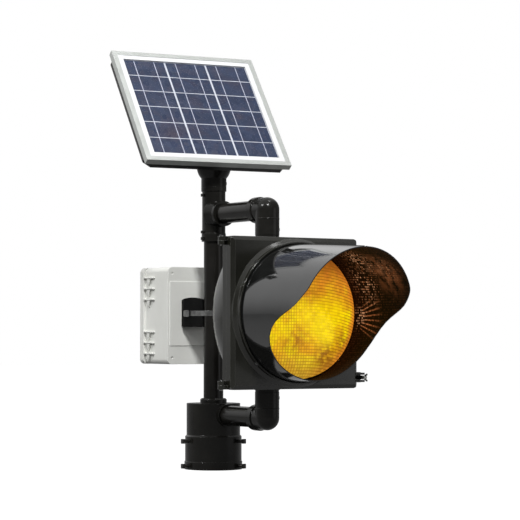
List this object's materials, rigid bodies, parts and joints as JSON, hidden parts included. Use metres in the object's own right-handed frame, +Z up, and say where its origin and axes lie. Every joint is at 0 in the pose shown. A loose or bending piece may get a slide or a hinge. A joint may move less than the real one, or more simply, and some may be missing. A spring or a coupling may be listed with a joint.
{
  "type": "solar flashing beacon",
  "caption": "Round amber signal head with a cutaway visor on two pipe arms, a solar panel on top and a battery box behind, all on a tube in a pole-top collar.",
  "frame": {"origin": "centre of the collar's foot, on the pole axis", "axes": "+Z up along the pole, -Y the way the lamp faces, +Y towards the battery box"},
  "size_m": [0.4146, 0.888, 1.0287],
  "materials": {
    "black_casting": "black powder coat on cast aluminium, satin",
    "black_pipe": "black powder coat on aluminium pipe, satin",
    "dark_steel": "blackened steel",
    "zinc_steel": "zinc plated",
    "stainless": "bright stainless",
    "dark_shell": "dark olive-black moulded plastic, satin",
    "visor_plastic": "black moulded plastic, glossy",
    "amber_lens": "amber, prismatic",
    "gasket_rubber": "matt",
    "bright_aluminium": "polished",
    "cream_plastic": "matt",
    "lamp_plastic": "amber",
    "anodised_frame": "silver anodised, satin",
    "panel_glass": "low-iron glass",
    "cell_blue": "polycrystalline silicon, blue",
    "white_sheet": "white",
    "black_plastic": "matt",
    "black_tray": "black powder coat on folded steel",
    "grey_plastic": "light grey moulded plastic",
    "battery_plastic": "dark grey",
    "green_plastic": "matt"
  },
  "bodies": {
    "pole_assembly": {"pole_collar": "black_casting", "collar_screws_upper": "dark_steel", "collar_screws_lower": "dark_steel", "pole_tube": "black_pipe", "pole_tee": "black_casting", "tee_screws": "dark_steel", "post_cap": "black_casting", "post_cap_screws": "dark_steel", "upper_arm_tube": "black_pipe", "lower_arm_tube": "black_pipe", "upper_elbow": "black_casting", "lower_elbow": "black_casting", "elbow_screws": "dark_steel", "hub_rings": "black_casting", "hub_nipples": "black_pipe", "hub_locknuts": "zinc_steel", "lamp_housing": "dark_shell", "hinge_pins": "stainless", "terminal_block": "cream_plastic", "panel_frame": "anodised_frame", "panel_glass": "panel_glass", "solar_cells": "cell_blue", "panel_backsheet": "white_sheet", "junction_box": "black_plastic", "panel_tray": "black_tray", "tray_screws": "stainless", "tilt_bracket": "black_tray", "tilt_bracket_bolts": "stainless", "panel_bolts": "stainless", "battery_case": "grey_plastic", "case_cover": "grey_plastic", "cover_gasket": "gasket_rubber", "cover_screws": "stainless", "battery": "battery_plastic", "battery_clamp": "zinc_steel", "charge_controller": "green_plastic", "mounting_plate": "zinc_steel", "plate_screws": "stainless", "cable_gland": "black_plastic", "pole_saddle": "black_casting", "saddle_bolts": "stainless", "band_strap": "stainless", "band_buckle": "stainless"},
    "door": {"door_frame": "dark_shell", "door_gasket": "gasket_rubber", "wing_screws": "stainless", "lens": "amber_lens", "lens_gasket": "gasket_rubber", "lens_clips": "stainless", "clip_screws": "stainless", "reflector": "bright_aluminium", "lamp_holder": "cream_plastic", "led_lamp": "lamp_plastic", "visor": "visor_plastic", "visor_screws": "stainless"}
  },
  "joints": [
    {"name": "door_hinge", "type": "hinge", "parent": "pole_assembly", "child": "door", "pos_m": [-0.184, -0.348, 0.3765], "axis": [0, 0, -1], "range_deg": [0, 105]}
  ]
}
